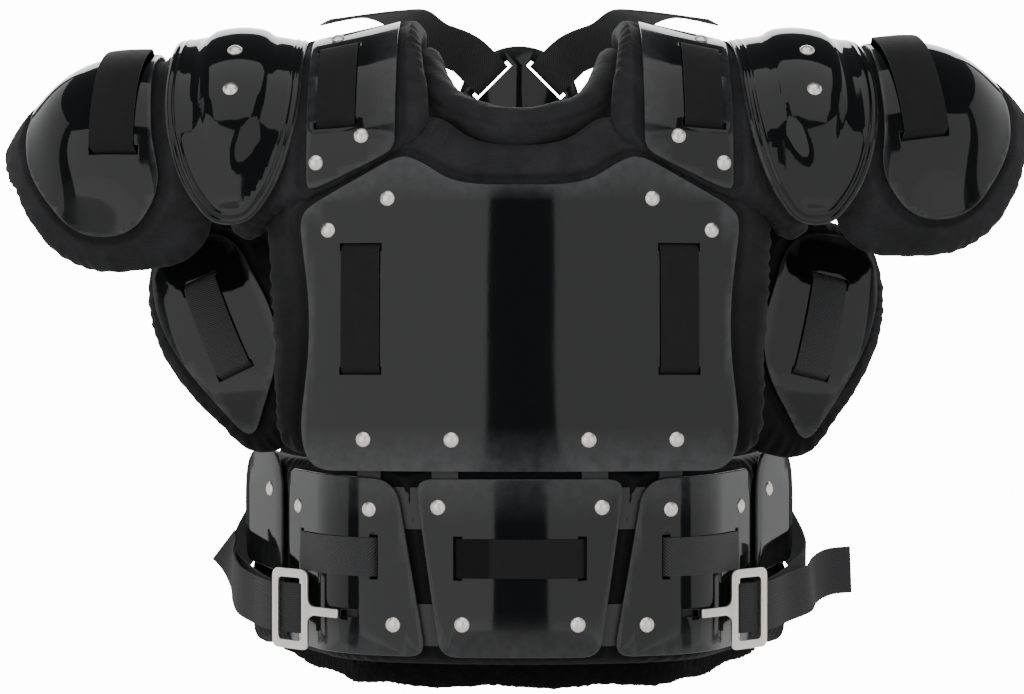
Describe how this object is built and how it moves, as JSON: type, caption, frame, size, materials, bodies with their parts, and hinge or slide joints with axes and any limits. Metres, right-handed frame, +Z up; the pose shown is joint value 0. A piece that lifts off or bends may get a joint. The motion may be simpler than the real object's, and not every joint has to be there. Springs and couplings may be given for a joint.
{
  "type": "umpire chest protector",
  "caption": "Hard-shell chest protector with padded shoulder, arm, rib and belly guards, worn on a back harness.",
  "frame": {"origin": "the middle of the shoulder rest, between the two padded yokes", "axes": "+X to the wearer's left along the shoulders, +Y to the back, +Z up; the plates face -Y"},
  "size_m": [0.7271, 0.2569, 0.482],
  "materials": {
    "plate_plastic": "gloss black",
    "pad_fabric": "matt black nylon",
    "lining_fleece": "black fleece",
    "webbing": "black webbing",
    "strip_plastic": "satin black",
    "nickel": "bright nickel"
  },
  "bodies": {
    "root": {"arm_loop_left": "webbing", "arm_loop_right": "webbing", "arm_pad_left": "pad_fabric", "arm_pad_right": "pad_fabric", "arm_plate_left": "plate_plastic", "arm_plate_right": "plate_plastic", "arm_tab_left": "webbing", "arm_tab_right": "webbing", "back_disc": "plate_plastic", "belly_lining": "lining_fleece", "belly_loop_center": "webbing", "belly_loop_left": "webbing", "belly_loop_right": "webbing", "belly_pad": "pad_fabric", "belly_plate_center": "plate_plastic", "belly_plate_left": "plate_plastic", "belly_plate_right": "plate_plastic", "chest_loop_left": "webbing", "chest_loop_right": "webbing", "chest_pad": "pad_fabric", "chest_plate": "plate_plastic", "collar_roll": "pad_fabric", "collarbone_loop_left": "webbing", "collarbone_loop_right": "webbing", "collarbone_plate_left": "plate_plastic", "collarbone_plate_right": "plate_plastic", "flank_plate_left": "plate_plastic", "flank_plate_right": "plate_plastic", "hanger_strip_left_1": "strip_plastic", "hanger_strip_left_2": "strip_plastic", "hanger_strip_right_1": "strip_plastic", "hanger_strip_right_2": "strip_plastic", "link_strip_lower": "strip_plastic", "link_strip_upper": "strip_plastic", "rib_loop_left": "webbing", "rib_loop_right": "webbing", "rib_pad_left": "pad_fabric", "rib_pad_right": "pad_fabric", "rib_plate_left": "plate_plastic", "rib_plate_right": "plate_plastic", "rib_tab_left": "webbing", "rib_tab_right": "webbing", "shoulder_cap_left": "plate_plastic", "shoulder_cap_right": "plate_plastic", "shoulder_pad_left": "pad_fabric", "shoulder_pad_right": "pad_fabric", "shoulder_strap_left": "webbing", "shoulder_strap_right": "webbing", "t_hook_left": "nickel", "t_hook_right": "nickel", "waist_strap_left": "webbing", "waist_strap_right": "webbing"}
  },
  "joints": []
}
